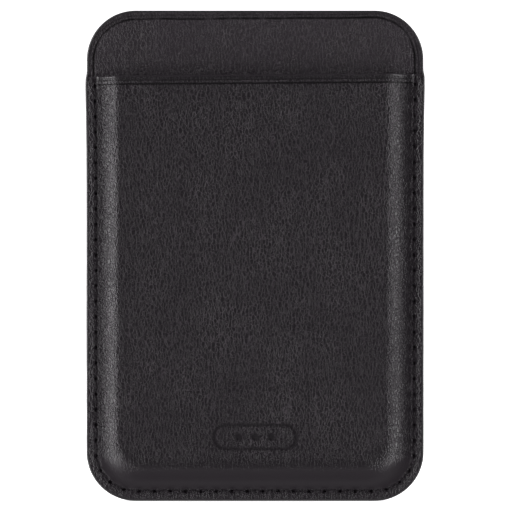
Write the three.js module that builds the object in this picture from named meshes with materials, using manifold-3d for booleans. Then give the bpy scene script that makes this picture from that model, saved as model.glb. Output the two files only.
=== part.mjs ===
// A card holder that clings to the back of a phone by a ring of magnets.
//
// It is a flat back panel with a moulded pocket sewn to its front along the two
// sides and the bottom. Everything is drawn lying on its back in an inner frame:
// x across, y up towards the mouth, z from the phone face towards the front. The
// last lines stand the assembly up, so that in the part's own frame +Z is up and
// the phone face looks along +Y. The origin is the middle of the magnet ring, on
// the phone face. Millimetres.
import * as THREE from "three";
import { mergeVertices } from "three/addons/utils/BufferGeometryUtils.js";
import Module from "manifold-3d";

const wasm = await Module();
wasm.setup();

// Outline, seen from the front.
const WIDTH = 65.3;
const HEIGHT = 95.0;
const CORNER_RADIUS = 9.5;
const TOP = 36.0; // height of the top edge above the middle of the magnet ring
const BOTTOM = TOP - HEIGHT;
const MOUTH = TOP - 12.6; // height of the pocket's mouth
const EDGE_COAT = 0.3; // paint that seals the cut edges

// Layers, as depths from the phone face towards the front.
const BACK_SKIN = 0.8;
const SHIELD_SEAT = 1.9;
const CORE_FRONT = 2.2;
const FACING_FRONT = 2.9;
const POCKET_DEPTH = 2.05; // two bank cards, with room to slide
const LINING = 0.25;
const STIFFENER = 0.35;
const FRONT_SKIN = 0.75;
const LINING_FRONT = FACING_FRONT + POCKET_DEPTH + LINING;
const FLANGE_FRONT = FACING_FRONT + FRONT_SKIN;
const PLATEAU_FRONT = LINING_FRONT + STIFFENER + FRONT_SKIN;

// The moulded shoulder between the sewn flange and the raised front.
const SHOULDER_FOOT = 2.6; // distance in from the outer edge
const SHOULDER_RUN = 4.4;
const SHOULDER_STEPS = 10;

// The seam, sunk in a groove in both faces.
const STITCH_INSET = 1.9;
const GROOVE_DEPTH = 0.4;
const GROOVE_FLOOR = 0.76; // width along the floor
const GROOVE_TOP = 1.1; // width at the surface
const THREAD_RADIUS = 0.17;
const SEAM_START = MOUTH - 1.2;

// The magnets, in pockets through the core.
const RING_INNER = 23.0;
const RING_OUTER = 27.0;
const RING_MAGNETS = 16;
const RIB = 0.8; // core left standing between two pockets
const POCKET_CLEARANCE = 0.15;
const MAGNET_BACK = 0.85;
const MAGNET_FRONT = 1.85;
const ALIGN_WIDTH = 6.0;
const ALIGN_TOP = -32.0; // upper end of the pair that stops the holder from turning
const ALIGN_LENGTH = 9.6;

// The steel sheet that keeps the field off the cards.
const SHIELD_BACK = 1.92;
const SHIELD_FRONT = 2.17;
const SHIELD_SIDE = 4.3; // distance in from the outer edge
const SHIELD_RADIUS = 4.0;

// The thumb slot in the back, which pushes the cards up.
const SLOT_WIDTH = 15.0;
const SLOT_TOP = -4.0;
const SLOT_BOTTOM = -21.5;

const ARC_STEPS = 4; // half the number of straight pieces in a quarter or half turn

const leather = { color: 0x2c292c, roughness: 0.55, metalness: 0 };
const microfibre = { color: 0x35343a, roughness: 0.95, metalness: 0 };
const paint = { color: 0x1b1a1c, roughness: 0.4, metalness: 0 };
const plastic = { color: 0xb9b8b2, roughness: 0.6, metalness: 0 };
const nickel = { color: 0xc8c6c0, roughness: 0.25, metalness: 1 };
const steel = { color: 0x9b9c9e, roughness: 0.4, metalness: 1 };
const sewingThread = { color: 0x1d1b1d, roughness: 0.8, metalness: 0 };

const holder = new THREE.Group();

function addPiece(name, geometry, look) {
  const piece = new THREE.Mesh(geometry, new THREE.MeshStandardMaterial(look));
  piece.name = name;
  holder.add(piece);
}

// ---- outlines -------------------------------------------------------------

function roundedRectangle(halfWidth, bottom, top, radius) {
  const shape = new THREE.Shape();
  const x = halfWidth - radius;
  shape.absarc(x, top - radius, radius, 0, Math.PI / 2);
  shape.absarc(-x, top - radius, radius, Math.PI / 2, Math.PI);
  shape.absarc(-x, bottom + radius, radius, Math.PI, 1.5 * Math.PI);
  shape.absarc(x, bottom + radius, radius, 1.5 * Math.PI, 2 * Math.PI);
  shape.closePath();
  return shape;
}

function outline(inset) {
  return roundedRectangle(WIDTH / 2 - inset, BOTTOM + inset, TOP - inset, CORNER_RADIUS - inset);
}

// The thumb slot, made larger all round by margin.
function slotOutline(margin) {
  const radius = SLOT_WIDTH / 2;
  const shape = new THREE.Shape();
  shape.absarc(0, SLOT_TOP - radius, radius + margin, 0, Math.PI);
  shape.absarc(0, SLOT_BOTTOM + radius, radius + margin, Math.PI, 2 * Math.PI);
  shape.closePath();
  return shape;
}

// One magnet of the ring, or its pocket when clearance is above zero.
function ringSegment(index, clearance) {
  const middle = (index + 0.5) * ((2 * Math.PI) / RING_MAGNETS);
  const meanRadius = (RING_INNER + RING_OUTER) / 2;
  const pocketHalf = Math.PI / RING_MAGNETS - RIB / 2 / meanRadius;
  const half = pocketHalf - (POCKET_CLEARANCE - clearance) / meanRadius;
  const shape = new THREE.Shape();
  shape.absarc(0, 0, RING_OUTER + clearance, middle - half, middle + half);
  shape.absarc(0, 0, RING_INNER - clearance, middle + half, middle - half, true);
  shape.closePath();
  return shape;
}

// One of the two straight magnets below the ring, or its pocket.
function alignSegment(index, clearance) {
  const gap = RIB + 2 * POCKET_CLEARANCE;
  const top = ALIGN_TOP - index * (ALIGN_LENGTH + gap) + clearance;
  const bottom = top - ALIGN_LENGTH - 2 * clearance;
  return roundedRectangle(ALIGN_WIDTH / 2 + clearance, bottom, top, 0.5);
}

// ---- solids ---------------------------------------------------------------

function layer(shape, back, front, steps = ARC_STEPS) {
  const options = { depth: front - back, bevelEnabled: false, curveSegments: steps };
  return new THREE.ExtrudeGeometry(shape, options).translate(0, 0, back);
}

function solid(geometry) {
  const bare = geometry.clone();
  bare.deleteAttribute("normal");
  bare.deleteAttribute("uv");
  const merged = mergeVertices(bare, 1e-4);
  const vertProperties = new Float32Array(merged.getAttribute("position").array);
  const triVerts = new Uint32Array(merged.index.array);
  return new wasm.Manifold(new wasm.Mesh({ numProp: 3, vertProperties, triVerts }));
}

function geometryOf(manifold) {
  const mesh = manifold.getMesh();
  const geometry = new THREE.BufferGeometry();
  geometry.setAttribute("position", new THREE.BufferAttribute(mesh.vertProperties, 3));
  geometry.setIndex(new THREE.BufferAttribute(mesh.triVerts, 1));
  geometry.computeVertexNormals();
  return geometry;
}

// A block that covers the whole width above a height, between two depths.
function blockAbove(height, back, front) {
  const block = new THREE.BoxGeometry(2 * WIDTH, HEIGHT, front - back);
  return solid(block.translate(0, height + HEIGHT / 2, (back + front) / 2));
}

// A stack of outlines, each given as [inset, depth], joined by bands and closed
// at both ends. The first outline is the outer face's middle.
function moulded(profile) {
  const rings = profile.map(([inset]) => {
    const points = outline(inset).getPoints(ARC_STEPS);
    if (points[0].distanceTo(points[points.length - 1]) < 1e-6) points.pop();
    return points;
  });
  const count = rings[0].length;
  const positions = [];
  rings.forEach((ring, r) => {
    for (const point of ring) positions.push(point.x, point.y, profile[r][1]);
  });
  const indices = [];
  for (let r = 0; r + 1 < rings.length; r++) {
    for (let i = 0; i < count; i++) {
      const next = (i + 1) % count;
      const a = r * count + i;
      const b = (r + 1) * count + i;
      const c = (r + 1) * count + next;
      const d = r * count + next;
      indices.push(a, b, c, a, c, d);
    }
  }
  const last = (rings.length - 1) * count;
  for (const [a, b, c] of THREE.ShapeUtils.triangulateShape(rings[0], [])) {
    indices.push(a, b, c);
  }
  for (const [a, b, c] of THREE.ShapeUtils.triangulateShape(rings.at(-1), [])) {
    indices.push(last + a, last + c, last + b);
  }
  const geometry = new THREE.BufferGeometry();
  geometry.setAttribute("position", new THREE.Float32BufferAttribute(positions, 3));
  geometry.setIndex(indices);
  return geometry;
}

// The shoulder's cross-section from its crest (share 0) to its foot (share 1),
// pushed inwards through the skin by offset.
function shoulderPoint(share, offset) {
  const angle = Math.PI * (1 - share);
  const rise = PLATEAU_FRONT - FLANGE_FRONT;
  const inset = SHOULDER_FOOT + SHOULDER_RUN * (1 - share);
  const depth = FLANGE_FRONT + (rise * (1 - Math.cos(angle))) / 2;
  const slope = (rise * Math.PI * Math.sin(angle)) / 2 / SHOULDER_RUN;
  const length = Math.hypot(1, slope);
  return [inset + (offset * slope) / length, depth - offset / length];
}

function shoulder(offset) {
  const points = [];
  for (let step = 0; step <= SHOULDER_STEPS; step++) {
    points.push(shoulderPoint(step / SHOULDER_STEPS, offset));
  }
  return points;
}

// ---- back panel -----------------------------------------------------------

// The seam's route: down one side from the mouth, along the bottom and up again.
class Seam extends THREE.Curve {
  constructor(depth) {
    super();
    this.depth = depth;
    this.x = WIDTH / 2 - STITCH_INSET;
    this.radius = CORNER_RADIUS - STITCH_INSET;
    this.side = SEAM_START - (BOTTOM + CORNER_RADIUS);
    this.turn = (Math.PI / 2) * this.radius;
    this.bottom = WIDTH - 2 * CORNER_RADIUS;
  }

  getPoint(t) {
    const centreX = this.x - this.radius;
    const centreY = BOTTOM + CORNER_RADIUS;
    const half = this.side + this.turn + this.bottom / 2;
    const along = Math.abs(t - 0.5) * 2 * half; // run from the middle of the bottom
    const sign = t < 0.5 ? -1 : 1;
    if (along <= this.bottom / 2) {
      return new THREE.Vector3(sign * along, centreY - this.radius, this.depth);
    }
    const round = along - this.bottom / 2;
    if (round <= this.turn) {
      const angle = round / this.radius;
      const x = centreX + this.radius * Math.sin(angle);
      return new THREE.Vector3(sign * x, centreY - this.radius * Math.cos(angle), this.depth);
    }
    return new THREE.Vector3(sign * this.x, centreY + round - this.turn, this.depth);
  }
}

function thread(depth) {
  const section = new THREE.Shape();
  section.absarc(0, 0, THREAD_RADIUS, 0, 2 * Math.PI);
  const options = { steps: 78, curveSegments: 3, extrudePath: new Seam(depth) };
  return new THREE.ExtrudeGeometry(section, options);
}

// A U-shaped trough along the seam, cut from one face.
function grooveProfile(inset, face, direction) {
  const floor = face - direction * GROOVE_DEPTH;
  return [
    [inset + GROOVE_TOP / 2, face],
    [inset + GROOVE_FLOOR / 2, floor],
    [inset - GROOVE_FLOOR / 2, floor],
    [inset - GROOVE_TOP / 2, face],
  ];
}

function makeBackCover() {
  const edge = EDGE_COAT;
  const trough = grooveProfile(STITCH_INSET, 0, -1).reverse();
  const skin = moulded([[edge, BACK_SKIN], [edge, 0], ...trough]);
  const seamEnd = blockAbove(SEAM_START + 1, -1, BACK_SKIN);
  const plain = solid(layer(outline(edge), 0, BACK_SKIN));
  const sewn = solid(skin).subtract(seamEnd);
  const slot = solid(layer(slotOutline(EDGE_COAT), -1, BACK_SKIN + 1));
  return geometryOf(plain.intersect(seamEnd).add(sewn).subtract(slot));
}

function makeCore() {
  const shape = outline(EDGE_COAT);
  shape.holes.push(slotOutline(EDGE_COAT));
  for (let i = 0; i < RING_MAGNETS; i++) shape.holes.push(ringSegment(i, POCKET_CLEARANCE));
  for (let i = 0; i < 2; i++) shape.holes.push(alignSegment(i, POCKET_CLEARANCE));
  const board = solid(layer(shape, BACK_SKIN, CORE_FRONT));
  const seat = solid(layer(shieldOutline(POCKET_CLEARANCE), SHIELD_SEAT, CORE_FRONT + 1));
  return geometryOf(board.subtract(seat));
}

function shieldOutline(margin) {
  const halfWidth = WIDTH / 2 - SHIELD_SIDE + margin;
  const bottom = BOTTOM + SHIELD_SIDE - margin;
  const top = TOP - SHIELD_SIDE + margin;
  return roundedRectangle(halfWidth, bottom, top, SHIELD_RADIUS + margin);
}

function makeShield() {
  const shape = shieldOutline(0);
  shape.holes.push(slotOutline(EDGE_COAT + POCKET_CLEARANCE));
  return layer(shape, SHIELD_BACK, SHIELD_FRONT);
}

function makeFacing() {
  const shape = outline(EDGE_COAT);
  shape.holes.push(slotOutline(EDGE_COAT));
  return layer(shape, CORE_FRONT, FACING_FRONT);
}

addPiece("back_cover", makeBackCover(), leather);
addPiece("core_board", makeCore(), plastic);
for (let i = 0; i < RING_MAGNETS; i++) {
  const name = `ring_magnet_${String(i + 1).padStart(2, "0")}`;
  addPiece(name, layer(ringSegment(i, 0), MAGNET_BACK, MAGNET_FRONT, 2), nickel);
}
for (let i = 0; i < 2; i++) {
  const name = ["align_magnet_upper", "align_magnet_lower"][i];
  addPiece(name, layer(alignSegment(i, 0), MAGNET_BACK, MAGNET_FRONT, 1), nickel);
}
addPiece("shield_plate", makeShield(), steel);
addPiece("back_facing", makeFacing(), leather);

// ---- moulded front --------------------------------------------------------

function makeFrontCover() {
  const outer = shoulder(0);
  const inner = shoulder(FRONT_SKIN).reverse();
  const trough = grooveProfile(STITCH_INSET, FLANGE_FRONT, 1);
  const edge = [[EDGE_COAT, FLANGE_FRONT], [EDGE_COAT, FACING_FRONT]];
  const shell = moulded([...outer, ...trough, ...edge, ...inner]);
  return geometryOf(solid(shell).subtract(blockAbove(MOUTH - EDGE_COAT, 0, 2 * PLATEAU_FRONT)));
}

// The cloth follows the skin's inner face and stops short of the back panel.
function makeLining() {
  const outerOffset = FRONT_SKIN + STIFFENER;
  const reach = (point) => point[1] > FACING_FRONT + LINING;
  const outer = shoulder(outerOffset).filter(reach);
  const inner = shoulder(outerOffset + LINING).filter(reach).reverse();
  const shell = moulded([...outer, ...inner]);
  return geometryOf(solid(shell).subtract(blockAbove(MOUTH - EDGE_COAT, 0, 2 * PLATEAU_FRONT)));
}

function makeStiffener() {
  const inset = SHOULDER_FOOT + SHOULDER_RUN;
  const plate = solid(layer(outline(inset), LINING_FRONT, LINING_FRONT + STIFFENER));
  return geometryOf(plate.subtract(blockAbove(MOUTH - EDGE_COAT, 0, 2 * PLATEAU_FRONT)));
}

// Paint on the cut edge of the mouth: the front's whole cross-section, with its
// stiffener and lining, one coat thick.
function makeMouthCoat() {
  const side = (points) => points.map(([inset, depth]) => [WIDTH / 2 - inset, depth]);
  const edge = side([[EDGE_COAT, FLANGE_FRONT], [EDGE_COAT, FACING_FRONT]]);
  const under = side(shoulder(PLATEAU_FRONT - FACING_FRONT - POCKET_DEPTH).reverse());
  const rested = under.map(([x, depth]) => [x, Math.max(depth, FACING_FRONT)]);
  const right = [...side(shoulder(0)), ...edge, ...rested];
  const left = right.map(([x, depth]) => [-x, depth]).reverse();
  const shape = new THREE.Shape([...right, ...left].map(([x, z]) => new THREE.Vector2(x, -z)));
  const strip = new THREE.ExtrudeGeometry(shape, { depth: EDGE_COAT, bevelEnabled: false });
  return strip.rotateX(-Math.PI / 2).translate(0, MOUTH - EDGE_COAT, 0);
}

addPiece("front_lining", makeLining(), microfibre);
addPiece("front_stiffener", makeStiffener(), plastic);
addPiece("front_cover", makeFrontCover(), leather);
addPiece("mouth_edge_coat", makeMouthCoat(), paint);

// ---- edges and seam -------------------------------------------------------

// A band around the whole lamination, lower above the mouth.
function makeEdgeCoat() {
  const shape = outline(0);
  shape.holes.push(outline(EDGE_COAT));
  const band = solid(layer(shape, EDGE_COAT / 2, FLANGE_FRONT - EDGE_COAT / 2));
  return geometryOf(band.subtract(blockAbove(MOUTH, FACING_FRONT - EDGE_COAT / 2, 2 * PLATEAU_FRONT)));
}

function makeSlotCoat() {
  const shape = slotOutline(EDGE_COAT);
  shape.holes.push(slotOutline(0));
  return layer(shape, EDGE_COAT / 2, FACING_FRONT - EDGE_COAT / 2);
}

const THREAD_LIFT = THREAD_RADIUS + 0.02; // the thread's middle above the groove's floor

addPiece("edge_coat", makeEdgeCoat(), paint);
addPiece("slot_edge_coat", makeSlotCoat(), paint);
addPiece("front_thread", thread(FLANGE_FRONT - GROOVE_DEPTH + THREAD_LIFT), sewingThread);
addPiece("back_thread", thread(GROOVE_DEPTH - THREAD_LIFT), sewingThread);

holder.rotation.x = Math.PI / 2;

const cardHolder = new THREE.Group();
cardHolder.add(holder);

export default cardHolder;
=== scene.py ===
"""Looks for the magnetic card holder: leather skins, seam, painted edges, cloth.

Shapes are worked out in millimetres on a flat drawing: x across, z up, and depth
from the phone face towards the front. solid() turns a drawing into a closed mesh
in metres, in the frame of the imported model, where the front looks along -Y.
"""

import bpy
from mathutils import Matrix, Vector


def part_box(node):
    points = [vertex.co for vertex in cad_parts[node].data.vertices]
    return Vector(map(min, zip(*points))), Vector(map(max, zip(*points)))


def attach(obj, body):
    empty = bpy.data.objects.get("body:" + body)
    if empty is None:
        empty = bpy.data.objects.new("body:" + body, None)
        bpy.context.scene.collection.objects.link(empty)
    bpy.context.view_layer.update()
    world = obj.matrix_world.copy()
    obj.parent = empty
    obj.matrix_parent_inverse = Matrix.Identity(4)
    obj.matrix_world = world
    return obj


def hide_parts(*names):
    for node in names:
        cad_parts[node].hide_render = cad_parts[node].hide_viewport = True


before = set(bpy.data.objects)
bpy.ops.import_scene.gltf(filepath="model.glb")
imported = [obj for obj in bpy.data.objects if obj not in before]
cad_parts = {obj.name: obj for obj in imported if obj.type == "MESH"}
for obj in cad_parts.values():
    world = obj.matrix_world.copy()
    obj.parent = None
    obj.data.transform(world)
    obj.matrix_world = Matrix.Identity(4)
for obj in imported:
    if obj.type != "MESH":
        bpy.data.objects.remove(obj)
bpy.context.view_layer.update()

import copy
import math

import bpy
import numpy as np
from mathutils import Vector
from mathutils.geometry import delaunay_2d_cdt

MM = 0.001


def box_mm(node):
    """A CAD node's lowest and highest corner in millimetres."""
    low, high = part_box(node)
    return low / MM, high / MM


# ---- sizes, from the frame -------------------------------------------------

COAT_LOW, COAT_HIGH = box_mm("edge_coat")
FRONT_LOW, FRONT_HIGH = box_mm("front_cover")
FACING_LOW, FACING_HIGH = box_mm("back_facing")
SLOT_LOW, SLOT_HIGH = box_mm("slot_edge_coat")

HALF_WIDTH = COAT_HIGH.x
TOP = COAT_HIGH.z
BOTTOM = COAT_LOW.z
MOUTH = box_mm("mouth_edge_coat")[1].z
CORNER = 9.5
COAT = HALF_WIDTH - FRONT_HIGH.x
FACING_BACK = -FACING_HIGH.y
FACING_FRONT = -FACING_LOW.y
PLATEAU = -FRONT_LOW.y
FRONT_SKIN = 0.75
STIFFENER = 0.35
LINING = 0.25
FLANGE = FACING_FRONT + FRONT_SKIN
BACK_SKIN = -box_mm("back_cover")[0].y
LINING_INNER = PLATEAU - FRONT_SKIN - STIFFENER - LINING
SLOT_RADIUS = SLOT_HIGH.x - COAT
SLOT_UP = SLOT_HIGH.z - COAT - SLOT_RADIUS
SLOT_DOWN = SLOT_LOW.z + COAT + SLOT_RADIUS

# The moulded shoulder, as distances in from the outer edge: a gentle ramp from the
# foot, then a step up to the crest. The pocket sits slightly left of the middle, and
# its shoulders spread a little at the mouth.
FOOT = 2.5
RAMP_SLOPE = 0.28
STEP_START = 3.1
STEP_SHARPNESS = 1.25
CREST = 7.05
CREST_RADIUS = 6.2
POCKET_LEFT = 0.40
MOUTH_SPREAD = 0.15

# The seam: a lock stitch in a tight crease that swings between the needle holes.
SEAM_INSET = 1.92
SEAM_SWING = 0.26
PITCH = 2.97
SEAM_START = 1.9
CREASE_DEPTH = 0.07
HOLE_DEPTH = 0.50
LIP_RISE = 0.08
THREAD_RADIUS = 0.16
THREAD_SINK = 0.36

# How the front skin has settled: its rim falls towards the edge and is pared thin at
# the mouth, its sides flare there, and the mouth runs slightly uphill.
PARED = 0.5
RIM_FALL = 0.25
FLARE = 0.25
TILT = 0.0083

# The welt pressed in below the mouth: drop below the mouth, width, and depth or height.
WELT_BAND = (0.95, 0.10, 0.08)
WELT_RIDGE = (1.30, 0.11, 0.06)
WELT_CREASE = (1.68, 0.13, 0.17)

# The pressed mark: a capsule outline with three dimples.
MARK_MIDDLE = BOTTOM + 12.6
MARK_STRAIGHT = 5.6
MARK_RADIUS = 2.3
DIMPLE_GAP = 3.2
MARK_DEPTH = 0.16

# The panel's hand-drawn crease line, and how far the panel falls outside it.
PANEL_LINE = 1.55
PANEL_LINE_DEPTH = 0.26
OUTSIDE_FALL = 0.05

# The magnet ring's radii, whose edges show faintly through the back skin.
RING_INSIDE = 23.0
RING_OUTSIDE = 27.0

# Edge paint: how far it laps onto the faces.
LIP = 0.42
MOUTH_LIP = 0.34

# How finely the meshes are sampled.
SPACING = PITCH / 14
FINE_ROWS = np.arange(0.2, 2.3, 0.08)
EDGE_RINGS = [0.30, 0.34, 0.42, 0.55, 0.75]
SLOT_RINGS = [COAT, 0.36, 0.45, 0.6, 0.9, 1.4]


# ---- small helpers ---------------------------------------------------------


def smooth(value, low, high):
    """0 below low, 1 above high, and a smooth step between."""
    t = np.clip((value - low) / (high - low), 0.0, 1.0)
    return t * t * (3 - 2 * t)


def bump(value, middle, width):
    """1 at the middle, fading out over the width on both sides."""
    return np.exp(-(((value - middle) / width) ** 2))


def ripple(x, z, length, seed):
    """A slow, even unevenness between about -1 and 1, made of a few crossed waves."""
    total = np.zeros_like(np.asarray(x, float))
    for k in range(5):
        angle = 1.1 + 2.399 * (k + seed)
        phase = 1.7 * seed + 2.1 * k
        wave = 2 * math.pi / (length * (0.7 + 0.19 * k))
        total += np.sin(wave * (math.cos(angle) * x + math.sin(angle) * z) + phase)
    return total / 3.2


# ---- the outline -----------------------------------------------------------


class Rim:
    """Samples along the holder's edge: the middle of curvature, the outward normal,
    and the run along the seam from the left end of the mouth."""

    def __init__(self, closed, spacing, rows, top_spacing=1.0):
        self.closed = closed
        x = HALF_WIDTH - CORNER
        low, high = BOTTOM + CORNER, TOP - CORNER
        seam_radius = CORNER - SEAM_INSET
        turn = 0.5 * math.pi * seam_radius
        side = MOUTH - low
        steps = max(int(round(turn / spacing)), 8)
        parts = []

        def straight(x0, z0, x1, z1, normal, run0, sign, count):
            t = np.linspace(0, 1, count, endpoint=False)
            run = run0 + sign * t * math.hypot(x1 - x0, z1 - z0)
            parts.append((x0 + (x1 - x0) * t, z0 + (z1 - z0) * t, normal, run))

        def corner(cx, cz, start, run0, count):
            t = np.linspace(0, 1, count, endpoint=False)
            angle = start + t * math.pi / 2
            normal = (np.cos(angle), np.sin(angle))
            parts.append((cx + 0 * t, cz + 0 * t, normal, run0 + t * turn))

        rows = np.asarray(rows)
        # left side, downwards
        parts.append((0 * rows - x, MOUTH - rows, (-1.0, 0.0), rows))
        corner(-x, low, math.pi, side, steps)
        straight(-x, low, x, low, (0.0, -1.0), side + turn, 1, int(round(2 * x / spacing)))
        corner(x, low, 1.5 * math.pi, side + turn + 2 * x, steps)
        up = rows[::-1]
        full = 2 * (side + turn) + 2 * x
        parts.append((0 * up + x, MOUTH - up, (1.0, 0.0), full - up))
        if closed:
            gap = high - MOUTH
            count = max(int(round(gap / top_spacing)), 2)
            around = int(round(turn / top_spacing))
            straight(x, MOUTH + gap / count, x, high, (1.0, 0.0), full, 1, count - 1)
            corner(x, high, 0.0, full + gap, around)
            straight(x, high, -x, high, (0.0, 1.0), full + gap, 1, int(round(2 * x / top_spacing)))
            corner(-x, high, 0.5 * math.pi, full + gap, around)
            straight(-x, high, -x, MOUTH, (-1.0, 0.0), -gap, 1, count)
        self.cx = np.concatenate([p[0] for p in parts])
        self.cz = np.concatenate([p[1] for p in parts])
        self.nx = np.concatenate([0 * p[0] + p[2][0] for p in parts])
        self.nz = np.concatenate([0 * p[0] + p[2][1] for p in parts])
        self.run = np.concatenate([p[3] for p in parts])
        self.length = full

    def points(self, inset):
        """The outline at a distance in from the edge, as an array of x and z."""
        r = CORNER - inset
        return np.stack([self.cx + self.nx * r, self.cz + self.nz * r], axis=1)

    def thinned(self, keep):
        """The same rim with only some of its samples."""
        rim = copy.copy(self)
        for key in ("cx", "cz", "nx", "nz", "run"):
            setattr(rim, key, getattr(self, key)[keep])
        return rim


def seam_holes(length):
    """The runs along the seam at which the needle went through."""
    count = int(round((length - 2 * SEAM_START) / PITCH))
    return np.linspace(SEAM_START, length - SEAM_START, count + 1)


def seam_phase(run, length):
    """The distance to the nearest needle hole, and the place between two holes (0 to 1)."""
    holes = seam_holes(length)
    step = holes[1] - holes[0]
    place = (np.clip(run, holes[0], holes[-1]) - holes[0]) / step
    near = np.round(place)
    return run - (holes[0] + near * step), place - np.floor(place)


# ---- flat drawings ---------------------------------------------------------


class Drawing:
    """A flat mesh of points and triangles, with what each point needs to know."""

    def __init__(self):
        self.at = np.zeros((0, 2))
        self.facts = {key: np.zeros(0) for key in ("inset", "run")}
        self.triangles = []

    def add(self, at, inset, run):
        first = len(self.at)
        self.at = np.concatenate([self.at, at])
        for key, value in (("inset", inset), ("run", run)):
            self.facts[key] = np.concatenate([self.facts[key], np.broadcast_to(value, len(at))])
        return np.arange(first, first + len(at))

    def band(self, outer, inner, closed):
        """Two triangles between each pair of neighbours on two rings."""
        count = len(outer)
        for i in range(count if closed else count - 1):
            n = (i + 1) % count
            self.triangles.append((outer[i], outer[n], inner[n]))
            self.triangles.append((outer[i], inner[n], inner[i]))

    def fans(self, outer, inner, kept):
        """A band from a fine ring to a coarser one that has only the kept samples."""
        places = np.flatnonzero(kept)
        for i in range(len(places) - 1):
            a, b = places[i], places[i + 1]
            for k in range(a, b):
                self.triangles.append((outer[k], outer[k + 1], inner[i]))
            self.triangles.append((outer[b], inner[i + 1], inner[i]))

    def rings(self, rim, insets):
        made = [self.add(rim.points(v), v, rim.run) for v in insets]
        for a, b in zip(made, made[1:]):
            self.band(a, b, rim.closed)
        return made

    def fill(self, loop, inside, holes=()):
        """Triangles over the inside of a loop, through more points, around holes."""
        edge_points = np.concatenate([np.asarray(loop)] + [np.asarray(h) for h in holes])
        ids = np.concatenate([edge_points, inside]).astype(int)
        place = {int(v): i for i, v in enumerate(ids)}
        edges = []
        for ring in [loop, *holes]:
            for i in range(len(ring)):
                edges.append((place[int(ring[i])], place[int(ring[(i + 1) % len(ring)])]))
        flat = [Vector(p) for p in self.at[ids]]
        outline = [place[int(v)] for v in loop]
        _, _, faces, kept, _, _ = delaunay_2d_cdt(flat, edges, [outline], 1, 1e-6)
        shapes = [self.at[np.asarray(h)] for h in holes]
        for face in faces:
            corners = [int(ids[kept[v][0]]) for v in face]
            middle = self.at[corners].mean(axis=0)
            if not any(inside_polygon(middle, shape) for shape in shapes):
                self.triangles.append(tuple(corners))


def inside_polygon(point, shape):
    """Whether a point is inside a loop, by counting the sides it would cross."""
    x, z = point
    x0, z0 = shape[:, 0], shape[:, 1]
    x1, z1 = np.roll(x0, -1), np.roll(z0, -1)
    crosses = (z0 > z) != (z1 > z)
    at = x0 + (z - z0) / np.where(z1 == z0, 1, z1 - z0) * (x1 - x0)
    return bool(np.count_nonzero(crosses & (at > x)) % 2)


def grid(xs, zs):
    """Every pairing of the given columns and rows."""
    x, z = np.meshgrid(xs, zs)
    return np.stack([x.ravel(), z.ravel()], axis=1)


def solid(name, drawing, outer, inner, moved=None):
    """A closed mesh: the drawing at two depths, with walls along its edges. outer is
    the depth nearer the front. moved is where the points lie, if they have shifted."""
    at = drawing.at if moved is None else moved
    tris = np.array(drawing.triangles)
    a, b, c = (at[tris[:, i]] for i in range(3))
    area = (b[:, 0] - a[:, 0]) * (c[:, 1] - a[:, 1]) - (b[:, 1] - a[:, 1]) * (c[:, 0] - a[:, 0])
    tris = np.where((area < 0)[:, None], tris[:, ::-1], tris)
    count = len(at)
    front = np.stack([at[:, 0], -outer, at[:, 1]], axis=1)
    back = np.stack([at[:, 0], -inner, at[:, 1]], axis=1)
    directed = set()
    for i, j in ((0, 1), (1, 2), (2, 0)):
        directed.update(zip(tris[:, i].tolist(), tris[:, j].tolist()))
    walls = [(p, p + count, q + count, q) for p, q in directed if (q, p) not in directed]
    walls.sort()
    faces = tris.tolist() + (tris[:, ::-1] + count).tolist() + walls
    return mesh_object(name, np.concatenate([front, back]), faces)


def mesh_object(name, points_mm, faces, sharp=50):
    mesh = bpy.data.meshes.new(name)
    mesh.from_pydata((np.asarray(points_mm) * MM).tolist(), [], faces)
    mesh.validate()
    mesh.shade_smooth()
    mesh.set_sharp_from_angle(angle=math.radians(sharp))
    piece = bpy.data.objects.new(name, mesh)
    bpy.context.scene.collection.objects.link(piece)
    return piece


def store(piece, key, values):
    """A number that the material can read, for each point of a drawing, on both of
    the depths at which solid() lays the drawing."""
    layer = piece.data.attributes.new(key, "FLOAT", "POINT")
    layer.data.foreach_set("value", np.tile(np.asarray(values, np.float32), 2))


# ---- shapes of the skins ---------------------------------------------------


def moulded_inset(x, z):
    """How far in a point is on the moulded front, whose level lines keep a wide
    radius at the corners: the level line at a distance in is a rounded rectangle,
    and halving finds the one that the point is on. The pocket was sewn on slightly
    to the left."""
    side, end = HALF_WIDTH - np.abs(x + POCKET_LEFT), z - BOTTOM
    low, high = np.zeros_like(side), np.full_like(side, 14.0)
    for _ in range(30):
        tried = (low + high) / 2
        share = np.clip((tried - FOOT) / (CREST - FOOT), 0, 1)
        radius = CORNER - np.minimum(tried, FOOT) + share * (CREST_RADIUS - CORNER + FOOT)
        centre = tried + radius
        in_corner = (side < centre) & (end < centre)
        round_part = radius - np.hypot(centre - side, centre - end)
        inside = np.where(in_corner, round_part, np.minimum(side, end) - tried)
        low = np.where(inside > 0, tried, low)
        high = np.where(inside > 0, high, tried)
    return (low + high) / 2


def shoulder(inset):
    """The moulded front's depth without seam or mouth, from the slope added up: a
    short gentle ramp from the flange, then an even step to the raised flat."""
    at = np.linspace(FOOT, CREST, 160)
    ramp = RAMP_SLOPE * smooth(at, FOOT, FOOT + 0.4) * (1 - smooth(at, 3.4, 4.4))
    climbed = np.clip((at - STEP_START) / (CREST - STEP_START), 0, 1)
    slope = ramp + np.sin(math.pi * climbed) ** STEP_SHARPNESS
    rise = np.concatenate([[0.0], np.cumsum(slope[1:] + slope[:-1])])
    return FLANGE + (PLATEAU - FLANGE) * np.interp(inset, at, rise / rise[-1])


def crease_middle(place):
    """Where the seam's crease runs: it swings inwards between two needle holes."""
    return SEAM_INSET + SEAM_SWING * np.sin(math.pi * place) ** 2


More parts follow.
